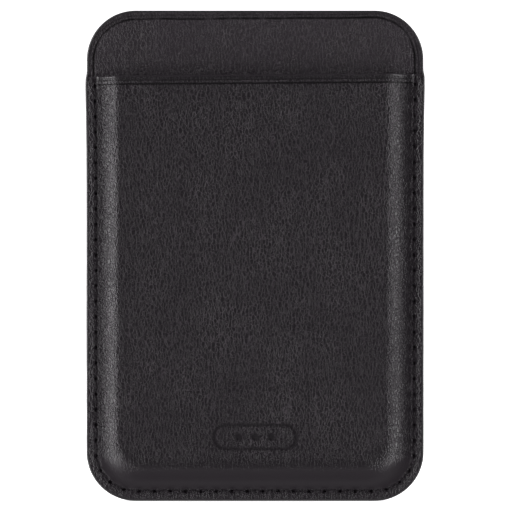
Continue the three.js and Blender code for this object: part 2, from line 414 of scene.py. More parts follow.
def seam_relief(inset, run, length):
    """How much the seam lowers a skin, and how much painted shade darkens the colour in
    the stitched crease and the needle holes. The seam is a thin crease, deep needle
    holes with a raised ring, a rim that puffs up between them, and inside the seam a
    lip that falls away slowly. The ends run out unsewn."""
    off, place = seam_phase(run, length)
    middle = crease_middle(place)
    between = np.sin(math.pi * place) ** 2
    sewn = smooth(np.minimum(run, length - run), SEAM_START - 1.6, SEAM_START)
    line = bump(inset, middle, 0.09)
    hole = HOLE_DEPTH * bump(inset, SEAM_INSET, 0.20) * bump(off, 0, 0.27)
    hole -= 0.04 * bump(np.hypot(inset - SEAM_INSET, off), 0.55, 0.16)
    puff = 0.03 * bump(inset, 1.25, 0.42) * between
    lip = LIP_RISE * smooth(inset, middle + 0.1, middle + 0.5)
    lip *= 1 - smooth(inset, middle + 0.5, middle + 2.0)
    unsewn = (1 - sewn) * 0.1 * bump(inset, middle, 0.2)
    relief = sewn * (CREASE_DEPTH * line + hole) + unsewn - puff - lip
    # Painted shade: the crease and the needle holes are darkened in the colour.
    dark = sewn * np.clip(0.12 * line + smooth(hole, 0.2, 0.45), 0, 1)
    return relief, dark


def rim_round(inset):
    """How far a skin rounds over towards a cut edge."""
    t = np.clip(1 - inset / 0.7, 0, 1)
    return 0.3 * (1 - np.sqrt(1 - t * t))


def rim_depth(inset, drop):
    """The sewn rim's depth without its seam: it falls towards the edge, and it is
    pared thin where it meets the mouth."""
    pared = PARED * (1 - smooth(drop, 0.2, 2.8))
    depth = FLANGE - RIM_FALL * (1 - smooth(inset, 0.0, 1.7)) - rim_round(inset) - pared
    return np.maximum(depth, FACING_FRONT + 0.1)


def mouth_relief(drop):
    """The welt pressed in below the mouth, and how much its colour is darkened: painted
    shade in the fine line and the deeper crease, and a darker flattened band. The welt
    has a rounded edge, a flattened band, a fine line, a ridge and a deeper crease."""
    line, ridge, crease = (
        bump(drop, at, width) for at, width, _ in (WELT_BAND, WELT_RIDGE, WELT_CREASE)
    )
    edge = 0.05 * (1 - smooth(drop, 0.7, 1.0)) + 0.14 * bump(drop, 0.0, 0.22)
    relief = WELT_BAND[2] * line + WELT_CREASE[2] * crease + edge - WELT_RIDGE[2] * ridge
    band = 0.25 * smooth(drop, 0.1, 0.4) * (1 - smooth(drop, 1.0, 1.2))
    return relief, np.clip(band + 0.4 * line + crease, 0, 1)


def settle(at, inset):
    """Moves points of the front to where the leather has settled: the sides flare a
    little near the mouth, and the mouth runs very slightly uphill to the right."""
    x, z = at[:, 0].copy(), at[:, 1].copy()
    drop = MOUTH - z
    side = smooth(np.abs(x), 18, 26)
    flare = FLARE * np.exp(-((np.clip(drop, 0, None) / 10.0) ** 1.5)) * smooth(drop, -1.3, 0.9)
    x += np.sign(x) * side * flare * (1 - smooth(inset, 2.6, 5.5))
    z += TILT * at[:, 0] * np.exp(-np.clip(drop, 0, None) / 14.0) * smooth(drop, -3.0, 0.0)
    return np.stack([x, z], axis=1)


def mark_relief(x, z):
    """How much the pressed mark lowers the front."""
    across, up = np.abs(x), z - MARK_MIDDLE
    to_axis = np.hypot(np.clip(across - MARK_STRAIGHT, 0, None), up)
    line = bump(to_axis, MARK_RADIUS, 0.27)
    dots = sum(1 - smooth(np.hypot(x - k * DIMPLE_GAP, up), 0.35, 0.9) for k in (-1, 0, 1))
    return MARK_DEPTH * line + 0.2 * dots


# ---- pieces ----------------------------------------------------------------


def side_rows(spacing, fine=(0.0,)):
    """Drops below the mouth at which the sides are sampled."""
    depth = MOUTH - (BOTTOM + CORNER)
    rest = depth - fine[-1]
    coarse = fine[-1] + np.linspace(0, rest, int(rest / spacing))
    return np.concatenate([fine, coarse[1:-1]])


def front_drawing():
    """The pocket's front: fine rings over the seam, coarser ones up the shoulder, and
    a grid over the raised flat that is finer at the mark. Returns its rim as well."""
    rim = Rim(False, SPACING, side_rows(SPACING, FINE_ROWS))
    count, fine_count = len(rim.cx), len(FINE_ROWS)
    kept = np.arange(count) % 3 == 0
    kept[: fine_count + 1] = True
    kept[-fine_count - 1 :] = True
    edge = [0.30, 0.33, 0.39, 0.48, 0.62, 0.82, 1.02, 1.22, 1.38]
    seam = list(np.arange(1.48, 2.6, 0.075))
    rise = list(np.arange(2.75, 8.7, 0.33))
    last = rise[-1]
    drawing = Drawing()
    fine_ring = drawing.rings(rim, edge + seam)[-1]
    coarse_rings = drawing.rings(rim.thinned(kept), rise)
    drawing.fans(fine_ring, coarse_rings[0], kept)

    inner_x = HALF_WIDTH - last
    columns = np.linspace(-inner_x, inner_x, 62)[1:-1]
    start = FINE_ROWS[0]
    top_row = drawing.add(grid(columns[::-1], [MOUTH - start]), last, 0.0)
    rows = MOUTH - np.concatenate([FINE_ROWS[1:], np.arange(3.0, 73.0, 0.9)])
    coarse = grid(columns, rows[rows > BOTTOM + last + 0.5])
    mark_x, mark_low, mark_high = 9.2, MARK_MIDDLE - 3.8, MARK_MIDDLE + 3.8
    in_mark = (np.abs(coarse[:, 0]) < mark_x) & (coarse[:, 1] > mark_low) & (coarse[:, 1] < mark_high)
    fine = grid(
        np.linspace(-mark_x + 0.2, mark_x - 0.2, 105),
        np.linspace(mark_low + 0.2, mark_high - 0.2, 43),
    )
    corner_gap = np.hypot(
        np.clip(np.abs(coarse[:, 0]) - (HALF_WIDTH - CORNER), 0, None),
        np.clip(BOTTOM + CORNER - coarse[:, 1], 0, None),
    )
    inside = np.concatenate([coarse[~in_mark & (corner_gap < 0.6)], fine])
    inside_ids = drawing.add(inside, CORNER, 0.0)
    drawing.fill(np.concatenate([coarse_rings[-1], top_row]), inside_ids)
    return rim, drawing


def make_front():
    """The moulded outer skin of the pocket."""
    rim, drawing = front_drawing()
    x, z = drawing.at[:, 0], drawing.at[:, 1]
    inset, run = drawing.facts["inset"], drawing.facts["run"]
    drop = MOUTH - z
    near_mouth = 1 - smooth(drop, 1.4, 2.2)
    rise_inset = moulded_inset(x, z) + MOUTH_SPREAD * near_mouth * smooth(inset, 2.1, 2.6)
    raised = smooth(inset, 2.0, 2.6)
    base = raised * shoulder(rise_inset) + (1 - raised) * rim_depth(inset, drop)
    crown = 0.05 * ripple(x, z, 34, 3) * smooth(inset, 5, 8)
    seam_drop, seam_painted_shade = seam_relief(inset, run, rim.length)
    welt_drop, welt_painted_shade = mouth_relief(drop)
    mark_drop = mark_relief(x, z)
    outer = base - seam_drop - raised * welt_drop + crown - mark_drop
    outer = np.maximum(outer, FACING_FRONT + 0.1)
    inner_depth = np.minimum(inner_face(rise_inset, FRONT_SKIN), outer - 0.12)
    piece = solid("front_leather", drawing, outer, inner_depth, settle(drawing.at, inset))

    # Where the grain is smoothed: stretched at the shoulder's foot, moulded at the
    # lower corners and the lower edge, and pressed at the mouth and in the mark.
    on_front = smooth(inset, 2.1, 2.6)
    marked = mark_drop / MARK_DEPTH
    stretched = 0.45 * bump(moulded_inset(x, z), 2.9, 0.85)
    low_corner = 1 - smooth(z, BOTTOM + 6, BOTTOM + 13)
    low_corner *= smooth(np.abs(x), HALF_WIDTH - 13, HALF_WIDTH - 6)
    low_edge = 0.95 * (1 - smooth(z, BOTTOM + 5.0, BOTTOM + 9.5))
    pressed = 0.2 * (1 - smooth(drop, 1.7, 2.1))
    smoothed = on_front * np.maximum.reduce([low_corner, low_edge, pressed])
    smoothed = np.maximum(stretched, smoothed)
    grain = 1 - np.clip(smoothed + 0.5 * marked, 0, 0.95) - 0.1 * (1 - on_front)
    # The grain is raised on the welt's ridge, so its pale valley colour shows there as bright dashes:
    # partly a deeper bump, partly painted highlight.
    grain += 0.9 * on_front * bump(drop, WELT_RIDGE[0], WELT_RIDGE[1])
    # Painted shade for the colour: the seam's crease and holes, the welt, and the recessed pressed mark.
    dark = np.clip(seam_painted_shade + raised * welt_painted_shade + 0.35 * marked, 0, 1)
    store(piece, "grain", grain)
    store(piece, "painted_shade", dark)
    return piece


def inner_face(inset, thickness):
    """The depth of a face that lies a thickness behind the moulded shoulder."""
    sample = np.linspace(FOOT, CREST, 80)
    depth = shoulder(sample)
    slope = np.gradient(depth, sample)
    length = np.hypot(1, slope)
    shifted = sample + thickness * slope / length
    offset = depth - thickness / length
    face = np.interp(inset, shifted, offset, left=FLANGE - thickness, right=PLATEAU - thickness)
    return np.maximum(face, FACING_FRONT + 0.005)


def capsule(margin, count):
    """The thumb slot's outline, larger by margin: half rounds above SLOT_UP and below
    SLOT_DOWN, with straight sides between them."""
    r = SLOT_RADIUS + margin
    angles = np.linspace(0, math.pi, count, endpoint=False)
    upper = np.stack([r * np.cos(angles), SLOT_UP + r * np.sin(angles)], axis=1)
    lower = np.stack([-r * np.cos(angles), SLOT_DOWN - r * np.sin(angles)], axis=1)
    steps = max(int((SLOT_UP - SLOT_DOWN) / 0.7), 1)
    t = np.linspace(0, 1, steps, endpoint=False)[:, None]
    left = np.array([-r, SLOT_UP]) * (1 - t) + np.array([-r, SLOT_DOWN]) * t
    right = np.array([r, SLOT_DOWN]) * (1 - t) + np.array([r, SLOT_UP]) * t
    return np.concatenate([upper, left, lower, right])


def panel_drawing(rim, insets, margins, extra):
    """A whole panel with the thumb slot: rings at the edge and around the slot."""
    drawing = Drawing()
    loop = drawing.rings(rim, insets)[-1]
    rings = [drawing.add(capsule(w, 40), CORNER, 0.0) for w in margins]
    for a, b in zip(rings, rings[1:]):
        drawing.band(a, b, True)
    last = insets[-1]
    inside = extra[
        (np.abs(extra[:, 0]) < HALF_WIDTH - last - 0.3)
        & (extra[:, 1] > BOTTOM + last + 0.3)
        & (extra[:, 1] < TOP - last - 0.3)
    ]
    near_z = np.clip(inside[:, 1], SLOT_DOWN, SLOT_UP)
    from_slot = np.hypot(inside[:, 0], inside[:, 1] - near_z) - SLOT_RADIUS
    inside = inside[from_slot > margins[-1] + 0.3]
    corner_x = np.clip(np.abs(inside[:, 0]) - (HALF_WIDTH - CORNER), 0, None)
    corner_z = np.clip(np.maximum(BOTTOM + CORNER - inside[:, 1], inside[:, 1] - (TOP - CORNER)), 0, None)
    inside = inside[np.hypot(corner_x, corner_z) < CORNER - last - 0.3]
    ids = drawing.add(inside, CORNER, 0.0)
    drawing.fill(loop, ids, [rings[-1]])
    return drawing


def slot_rounding(drawing):
    """How far each point's face is rounded down at the thumb slot's rim."""
    x, z = drawing.at[:, 0], drawing.at[:, 1]
    near_z = np.clip(z, SLOT_DOWN, SLOT_UP)
    away = np.hypot(x, z - near_z) - SLOT_RADIUS - COAT
    return 0.2 * (1 - smooth(away, 0.0, 0.55)) ** 2


def panel_bend(x, z):
    """How far the panel's long sides bend back where they show above the mouth."""
    bent = np.clip((np.abs(x) - HALF_WIDTH + 9.0) / 8.0, 0, None)
    return 0.25 * bent**2 * smooth(z, MOUTH - 4, MOUTH)


def make_facing():
    """The inner leather, whose upper end shows above the mouth. Its edge is creased
    by hand, so the line wanders: further in on the right, closer on the top right.
    A second, fainter line and small beads run outside it."""
    rim = Rim(True, 0.5, side_rows(0.5), 0.26)
    insets = EDGE_RINGS + [0.92] + list(np.arange(1.0, 2.1, 0.07)) + [2.2, 2.5, 3.0, 3.8, 5.0]
    extra = grid(np.arange(-27, 27.1, 1.2), np.arange(-54, 31.1, 1.2))
    drawing = panel_drawing(rim, insets, SLOT_RINGS, extra)
    x, z = drawing.at[:, 0], drawing.at[:, 1]
    inset = drawing.facts["inset"]
    upper = smooth(z, TOP - CORNER, TOP)
    lean = x / HALF_WIDTH
    line_at = PANEL_LINE + lean * (0.18 * (1 - upper) - 0.25 * upper) + 0.05 * ripple(x, z, 9, 2)
    uneven = np.clip(0.8 + 0.35 * ripple(x, z, 6, 5), 0.3, 1.2)
    faint = 1 - 0.45 * smooth(np.abs(x), HALF_WIDTH - 9, HALF_WIDTH - 3) * smooth(z, TOP - 9, TOP - 4)
    line = uneven * faint * bump(inset, line_at, 0.17)
    second = 0.45 * uneven * faint * bump(inset, line_at - 0.68, 0.13)
    beads = 0.10 * np.clip(ripple(x, z, 1.5, 4), 0, 1) * bump(inset, line_at - 0.34, 0.14)
    outside = OUTSIDE_FALL * (1 - smooth(inset, 1.1, 1.7))
    drop = 0.02 + PANEL_LINE_DEPTH * (line + second) + outside - beads
    drop += panel_bend(x, z) + rim_round(inset) + slot_rounding(drawing)
    outer = np.minimum(FACING_FRONT - drop + 0.018 * ripple(x, z, 21, 7), FACING_FRONT)
    inner = np.full(len(x), FACING_BACK)
    piece = solid("facing_leather", drawing, outer, inner)
    # The grain is raised along the beads, so their pale valley colour shows as small bright dots: partly
    # bump, partly painted highlight.
    grain = 0.85 + 0.7 * bump(inset, line_at - 0.34, 0.2)
    # Painted shade: the rim outside the line is darkened, above the mouth only.
    rim_painted_shade = 0.22 * (1 - smooth(inset, line_at - 0.1, line_at + 0.2))
    broken = np.clip(0.9 + 0.7 * ripple(x, z, 1.9, 8), 0.2, 1.4)
    rim_painted_shade *= smooth(z, MOUTH, MOUTH + 3)
    # Painted shade along both crease lines, broken up unevenly.
    dark = np.clip((1.3 * line + second) * broken + rim_painted_shade, 0, 1)
    store(piece, "grain", grain)
    store(piece, "painted_shade", dark)
    return piece


def ring_points():
    """Points along the faint ridge that the magnets press into the back skin."""
    edges = np.array([-0.8, -0.4, 0.0, 0.4, 0.8])
    radii = np.concatenate([RING_INSIDE + edges, RING_OUTSIDE + edges])
    angles = np.linspace(0, 2 * math.pi, 240, endpoint=False)
    around = np.concatenate([np.stack([r * np.cos(angles), r * np.sin(angles)], axis=1) for r in radii])
    bars = grid(
        np.concatenate([np.arange(-3.8, -2.1, 0.4), np.arange(2.2, 3.9, 0.4)]),
        np.arange(-53, -31.0, 0.8),
    )
    ends = grid(
        np.arange(-1.8, 1.9, 0.6),
        np.concatenate([np.arange(-53.2, -51.4, 0.4), np.arange(-33, -31.0, 0.4)]),
    )
    coarse = grid(np.arange(-29, 29.1, 1.3), np.arange(-55, 33.1, 1.3))
    radius = np.hypot(coarse[:, 0], coarse[:, 1])
    in_bar = (np.abs(coarse[:, 0]) < 4.4) & (coarse[:, 1] < -30.5) & (coarse[:, 1] > -53.8)
    coarse = coarse[(np.abs(radius - 25) > 3.3) & ~in_bar]
    return np.concatenate([around, bars, ends, coarse])


def magnet_relief(x, z):
    """The magnets' soft outline under the back skin."""
    radius = np.hypot(x, z)
    ring = smooth(radius, RING_INSIDE - 0.6, RING_INSIDE + 0.4)
    ring *= 1 - smooth(radius, RING_OUTSIDE - 0.4, RING_OUTSIDE + 0.6)
    bar = (1 - smooth(np.abs(x), 2.5, 3.5)) * smooth(z, -53.0, -52.0) * (1 - smooth(z, -32.3, -31.3))
    return 0.05 * np.maximum(ring, bar)


def make_back():
    """The outer skin that lies against the phone."""
    rim = Rim(True, 1.4 * SPACING, side_rows(1.4 * SPACING), 0.5)
    insets = EDGE_RINGS + [1.0, 1.22, 1.38]
    insets += list(np.arange(1.48, 2.42, 0.085)) + [2.6, 2.9, 3.4, 4.0]
    drawing = panel_drawing(rim, insets, SLOT_RINGS, ring_points())
    x, z = drawing.at[:, 0], drawing.at[:, 1]
    inset, run = drawing.facts["inset"], drawing.facts["run"]
    relief, dark = seam_relief(inset, run, rim.length)
    sewn = (run >= 0) & (run <= rim.length)
    relief = np.where(sewn, relief, 0.0)
    dark = np.where(sewn, dark, 0.0)
    face = 0.13 - magnet_relief(x, z) + relief + rim_round(inset) + slot_rounding(drawing)
    face = np.clip(face + 0.012 * ripple(x, z, 19, 4), 0.0, 0.66)
    inner = np.full(len(x), BACK_SKIN)
    piece = solid("back_leather", drawing, inner, face)
    store(piece, "grain", np.full(len(x), 0.8))
    # Painted shade in the seam's crease and needle holes.
    store(piece, "painted_shade", dark)
    return piece


def sweep(name, rails, closed, sharp=50):
    """A closed band: rails is an array [ring, point, 3] of loops in millimetres."""
    rings, count, _ = rails.shape
    faces = []
    for i in range(rings if closed else rings - 1):
        n = (i + 1) % rings
        for j in range(count):
            k = (j + 1) % count
            faces.append((i * count + j, n * count + j, n * count + k, i * count + k))
    if not closed:
        faces.append(tuple(range(count)))
        faces.append(tuple((rings - 1) * count + j for j in reversed(range(count))))
    return mesh_object(name, rails.reshape(-1, 3), faces, sharp)


def bead_section(back, front, lip, fall):
    """A painted edge's section, as distances in from the edge and depths: a quarter
    round from each face to the edge, and two points inside the leather."""
    angle = np.linspace(0, math.pi / 2, 7)
    inset = lip * (1 - np.sin(angle))
    drop = fall * (1 - np.cos(angle))
    inset = np.concatenate([inset, inset[::-1], [lip, lip]])
    depth = np.concatenate([front - drop, back + drop[::-1], [back + 0.3 * fall, front - 0.3 * fall]])
    return inset, depth


def make_edge():
    """Paint over the whole lamination's edge."""
    rim = Rim(True, 0.45, side_rows(0.45), 0.45)
    z = rim.cz + rim.nz * CORNER
    drop = MOUTH - z
    sewn = smooth(drop, -0.3, 0.4)
    bend = panel_bend(rim.cx + rim.nx * (CORNER - LIP), z)
    panel_edge = FACING_FRONT - 0.02 - OUTSIDE_FALL - bend - rim_round(LIP)
    front = sewn * rim_depth(LIP, np.maximum(drop, 0)) + (1 - sewn) * panel_edge + 0.012
    rails = []
    for i in range(len(rim.cx)):
        inset, depth = bead_section(0.01, front[i], LIP, 0.4)
        r = CORNER - inset
        rails.append(np.stack([rim.cx[i] + rim.nx[i] * r, -depth, rim.cz[i] + rim.nz[i] * r], axis=1))
    rails = np.array(rails)
    flat = rails.reshape(-1, 3)
    wave = 0.012 * ripple(flat[:, 0] + flat[:, 2], flat[:, 1] * 3, 5, 6)
    moved = settle(flat[:, [0, 2]], np.zeros(len(flat)))
    outward = np.sign(flat[:, 0]) * wave * (np.abs(flat[:, 0]) > HALF_WIDTH - 0.4)
    flat = np.stack([moved[:, 0] + outward, flat[:, 1], moved[:, 1]], axis=1)
    return sweep("edge_paint", flat.reshape(rails.shape), True, 80)


def make_slot_edge():
    """Paint round the thumb slot."""
    inset, depth = bead_section(0.03, FACING_FRONT - 0.04, LIP, 0.3)
    rings = [capsule(w, 40) for w in inset]
    count = len(rings[0])
    rails = np.zeros((count, len(inset), 3))
    for j, ring in enumerate(rings):
        rails[:, j, 0] = ring[:, 0]
        rails[:, j, 1] = -depth[j]
        rails[:, j, 2] = ring[:, 1]
    return sweep("slot_paint", rails, True, 80)


def make_mouth_edge():
    """Paint over the mouth's cut edge, following the moulded section."""
    half_x = HALF_WIDTH - 0.36
    side = np.linspace(24, half_x, 90)
    x = np.concatenate([-side[::-1], np.linspace(-24, 24, 60)[1:-1], side])
    inset = HALF_WIDTH - np.abs(x)
    raised = smooth(inset, 2.0, 2.6)
    shape = moulded_inset(x, MOUTH + 0 * x) + MOUTH_SPREAD * raised
    welt = mouth_relief(np.array([MOUTH_LIP]))[0][0]
    outer = raised * (shoulder(shape) - welt) + (1 - raised) * rim_depth(inset, 0 * inset) + 0.01
    inner = np.maximum(inner_face(shape, PLATEAU - LINING_INNER), FACING_FRONT + 0.02)
    rails = []
    for i in range(len(x)):
        fall = 0.35 * (outer[i] - inner[i])
        drop, depth = bead_section(inner[i], outer[i], MOUTH_LIP, fall)
        z = MOUTH - drop
        rails.append(np.stack([x[i] + 0 * z, -depth, z], axis=1))
    rails = np.array(rails)
    flat = rails.reshape(-1, 3)
    moved = settle(flat[:, [0, 2]], np.repeat(inset, rails.shape[1]))
    flat = np.stack([moved[:, 0], flat[:, 1], moved[:, 1]], axis=1)
    return sweep("mouth_paint", flat.reshape(rails.shape), False, 80)


def make_lining():
    """The cloth inside the pocket, seen through the mouth and the thumb slot."""
    rim = Rim(False, 1.2, side_rows(1.5, (0.25,)))
    insets = list(np.arange(3.6, 8.7, 0.35))
    drawing = Drawing()
    inner = drawing.rings(rim, insets)[-1]
    last = insets[-1]
    edge_x = HALF_WIDTH - last
    columns = np.linspace(-edge_x, edge_x, 30)[1:-1]
    top_row = drawing.add(grid(columns[::-1], [MOUTH - 0.25]), last, 0.0)
    rows = np.arange(BOTTOM + last + 1.2, MOUTH - 1.0, 1.6)
    inside = drawing.add(grid(columns, rows), CORNER, 0.0)
    drawing.fill(np.concatenate([inner, top_row]), inside)
    shape = moulded_inset(drawing.at[:, 0], drawing.at[:, 1])
    cloth = inner_face(shape, PLATEAU - LINING_INNER)
    outer = np.maximum(inner_face(shape, PLATEAU - LINING_INNER - LINING), cloth + 0.06)
    return solid("pocket_cloth", drawing, outer, cloth)


def make_thread(name, face, outward):
    """One thread of the lock stitch: it lies in the crease and dips into each hole.
    Its section has three lobes that turn along it, as a three-ply thread's do."""
    rim = Rim(False, SPACING, side_rows(SPACING, (0.6,)))
    off, place = seam_phase(rim.run, rim.length)
    middle = crease_middle(place)
    dip = 0.5 * bump(off, 0, 0.3)
    keep = (rim.run > SEAM_START - 0.35) & (rim.run < rim.length - SEAM_START + 0.35)
    depth = face - outward * (THREAD_SINK + dip)
    r = CORNER - middle
    line = np.stack([rim.cx + rim.nx * r, -depth, rim.cz + rim.nz * r], axis=1)[keep]
    if outward > 0:
        moved = settle(line[:, [0, 2]], middle[keep])
        line = np.stack([moved[:, 0], line[:, 1], moved[:, 1]], axis=1)
    run = rim.run[keep]
    tangent = np.gradient(line, axis=0)
    tangent /= np.linalg.norm(tangent, axis=1)[:, None]
    side = np.cross(tangent, [0.0, 1.0, 0.0])
    side /= np.linalg.norm(side, axis=1)[:, None]
    up = np.cross(side, tangent)
    angles = np.linspace(0, 2 * math.pi, 12, endpoint=False)
    lobes = THREAD_RADIUS * (1 + 0.16 * np.cos(3 * (angles[None] - 2.6 * run[:, None])))
    rails = (
        line[:, None]
        + (lobes * np.cos(angles))[..., None] * side[:, None]
        + (lobes * np.sin(angles))[..., None] * up[:, None]
    )
    return sweep(name, rails, False, 80)


# ---- materials -------------------------------------------------------------


class Nodes:
    """A short way to write a node tree."""

    def __init__(self, name):
        self.material = bpy.data.materials.new(name)
        self.material.use_nodes = True
        self.tree = self.material.node_tree
        self.shader = self.tree.nodes["Principled BSDF"]

    def add(self, kind, inputs=(), **settings):
        node = self.tree.nodes.new(kind)
        for key, value in settings.items():
            setattr(node, key, value)
        for key, value in dict(inputs).items():
            self.feed(node.inputs[key], value)
        return node

    def feed(self, socket, value):
        if isinstance(value, bpy.types.NodeSocket):
            self.tree.links.new(value, socket)
        else:
            socket.default_value = value

    def math(self, operation, a, b=0.0, c=0.0):
        return self.add("ShaderNodeMath", {0: a, 1: b, 2: c}, operation=operation).outputs[0]

    def remap(self, value, low, high, to_low=0.0, to_high=1.0, kind="SMOOTHSTEP"):
        inputs = {"Value": value, "From Min": low, "From Max": high, "To Min": to_low, "To Max": to_high}
        return self.add("ShaderNodeMapRange", inputs, interpolation_type=kind).outputs["Result"]

    def mix(self, share, a, b):
        node = self.add("ShaderNodeMix", data_type="RGBA")
        self.feed(node.inputs["Factor"], share)
        self.feed(node.inputs["A"], a)
        self.feed(node.inputs["B"], b)
        return node.outputs["Result"]

    def millimetres(self, scale=(1, 1, 1), turn=(0, 0, 0)):
        """Object coordinates in millimetres, stretched and turned."""
        at = self.add("ShaderNodeTexCoord").outputs["Object"]
        inputs = {"Vector": at, "Scale": [1000 * s for s in scale], "Rotation": turn}
        return self.add("ShaderNodeMapping", inputs).outputs["Vector"]

    def noise(self, at, scale, detail=2.0, roughness=0.5):
        inputs = {"Vector": at, "Scale": scale, "Detail": detail, "Roughness": roughness}
        return self.add("ShaderNodeTexNoise", inputs).outputs["Fac"]

    def cells(self, at, scale, randomness=1.0, feature="DISTANCE_TO_EDGE"):
        inputs = {"Vector": at, "Scale": scale, "Randomness": randomness}
        return self.add("ShaderNodeTexVoronoi", inputs, feature=feature).outputs["Distance"]

    def set(self, **values):
        for key, value in values.items():
            self.feed(self.shader.inputs[key.replace("_", " ")], value)

    def relief(self, height, distance_mm):
        """Fine unevenness: a height of 1 stands for the distance."""
        inputs = {"Height": height, "Distance": distance_mm * MM, "Strength": 1.0}
        return self.add("ShaderNodeBump", inputs).outputs["Normal"]


def warped(n, at, scale, amount):
    """Coordinates pushed about by a noise, so that cells get uneven sides."""
    inputs = {"Vector": at, "Scale": scale, "Detail": 1.0}
    push = n.add("ShaderNodeTexNoise", inputs).outputs["Color"]
    centred = n.add("ShaderNodeVectorMath", {0: push, 1: (0.5, 0.5, 0.5)}, operation="SUBTRACT")
    sized = n.add("ShaderNodeVectorMath", {0: centred.outputs[0], "Scale": amount}, operation="SCALE")
    moved = n.add("ShaderNodeVectorMath", {0: at, 1: sized.outputs[0]}, operation="ADD")
    return moved.outputs[0]


def leather(name, depth, tone, line):
    """Black grained leather: small pebbles, longer up than across, parted by fine
    valleys, with a few longer creases. The valleys are painted paler than the pebbles:
    a painted highlight for valley walls that catch the side lamps. The mesh says where
    moulding and pressing have smoothed the grain, and where painted shade darkens the
    colour, mostly in creases and needle holes."""
    n = Nodes(name)
    at = n.millimetres(scale=(1.25, 1.0, 0.80), turn=(0, math.radians(10), 0))
    uneven = warped(n, at, 1.6, 0.35)
    pebble = n.remap(n.cells(uneven, 1.45), 0.0, 0.16)
    crossing = n.millimetres(scale=(1.15, 1.0, 0.6), turn=(0, math.radians(-22), 0))
    crease = n.remap(n.cells(warped(n, crossing, 0.9, 0.7), 1.3), 0.0, 0.19)
    pores = n.noise(at, 3.2, 2.0, 0.6)
    slow = n.noise(at, 0.11, 2.0, 0.5)
    patch = n.noise(at, 0.45, 2.0, 0.6)
    grain = n.add("ShaderNodeAttribute", attribute_name="grain").outputs["Fac"]
    painted_shade = n.add("ShaderNodeAttribute", attribute_name="painted_shade").outputs["Fac"]
    relief = n.math("MULTIPLY_ADD", crease, 0.35, n.math("MULTIPLY", pebble, 0.65))
    relief = n.math("SUBTRACT", relief, 1.0)
    relief = n.math("MULTIPLY", relief, n.remap(patch, 0.3, 0.7, 0.8, 1.0))
    relief = n.math("MULTIPLY", relief, grain)
    height = n.math("MULTIPLY_ADD", pores, 0.15, relief)
    # Painted highlight: the valleys take the paler line colour, as if their walls caught the side lamps.
    colour = n.mix(n.remap(relief, -0.85, -0.3), (*line, 1), (*tone, 1))
    faded = (1.3 * tone[0], 1.25 * tone[1], 1.4 * tone[2], 1)
    colour = n.mix(n.remap(slow, 0.3, 0.7, 0.0, 0.5), colour, faded)
    even = [0.77 * dark + 0.23 * pale for dark, pale in zip(tone, line)]
    colour = n.mix(n.remap(grain, 0.0, 0.7), (*even, 1), colour)
    # Painted shade: the colour goes near black where the mesh's painted-shade number is high.
    colour = n.mix(n.math("MULTIPLY", painted_shade, 0.9), colour, (0.0015, 0.0012, 0.0015, 1))
    rough = n.remap(relief, -0.8, 0.0, 0.54, 0.41)
    rough = n.math("MULTIPLY_ADD", slow, 0.10, n.math("SUBTRACT", rough, 0.05))
    rough = n.math("MULTIPLY_ADD", painted_shade, 0.4, rough)
    n.set(Base_Color=colour, Roughness=rough, Specular_IOR_Level=0.42)
    n.set(Normal=n.relief(height, depth))
    return n.material


def edge_paint(name, dark, pale, depth):
    """Hard black edge paint, as uneven as the depth says."""
    n = Nodes(name)
    at = n.millimetres()
    brushed = n.noise(n.millimetres(scale=(1, 4, 1)), 0.9, 3.0, 0.6)
    specks = n.noise(at, 5.0, 2.0, 0.5)
    colour = n.mix(n.remap(specks, 0.3, 0.7), (*dark, 1), (*pale, 1))
    height = n.math("MULTIPLY_ADD", specks, 0.4, brushed)
    n.set(Base_Color=colour, Roughness=n.remap(brushed, 0.3, 0.7, 0.34, 0.52), Specular_IOR_Level=0.5)
    n.set(Normal=n.relief(height, depth))
    return n.material


def thread():
    """Waxed polyester thread."""
    n = Nodes("thread")
    fibres = n.noise(n.millimetres(), 14.0, 3.0, 0.7)
    colour = n.mix(fibres, (0.006, 0.006, 0.007, 1), (0.016, 0.015, 0.016, 1))
    n.set(Base_Color=colour, Roughness=n.remap(fibres, 0.3, 0.7, 0.5, 0.75), Specular_IOR_Level=0.4)
    n.set(Normal=n.relief(fibres, 0.02))
    return n.material


def microfibre():
    """Napped lining cloth."""
    n = Nodes("microfibre")
    at = n.millimetres()
    nap = n.noise(n.millimetres(scale=(1, 1, 0.5)), 9.0, 4.0, 0.7)
    clouds = n.noise(at, 0.35, 2.0, 0.5)
    colour = n.mix(nap, (0.018, 0.017, 0.020, 1), (0.055, 0.052, 0.058, 1))
    colour = n.mix(n.remap(clouds, 0.35, 0.65, 0.0, 0.35), colour, (0.03, 0.029, 0.033, 1))
    n.set(Base_Color=colour, Roughness=n.remap(nap, 0.3, 0.7, 0.85, 1.0), Specular_IOR_Level=0.2)
    n.set(Sheen_Weight=0.25, Sheen_Roughness=0.5)
    n.set(Normal=n.relief(nap, 0.05))
    return n.material


def board():
    """Pale moulded board."""
    n = Nodes("board")
    at = n.millimetres()
    fleck = n.noise(at, 3.0, 4.0, 0.6)
    clouds = n.noise(at, 0.2, 2.0, 0.5)
    colour = n.mix(fleck, (0.44, 0.43, 0.40, 1), (0.56, 0.55, 0.52, 1))
    colour = n.mix(n.remap(clouds, 0.3, 0.7, 0.0, 0.3), colour, (0.48, 0.46, 0.42, 1))
    n.set(Base_Color=colour, Roughness=n.remap(fleck, 0.3, 0.7, 0.55, 0.72))
    n.set(Normal=n.relief(fleck, 0.02))
    return n.material


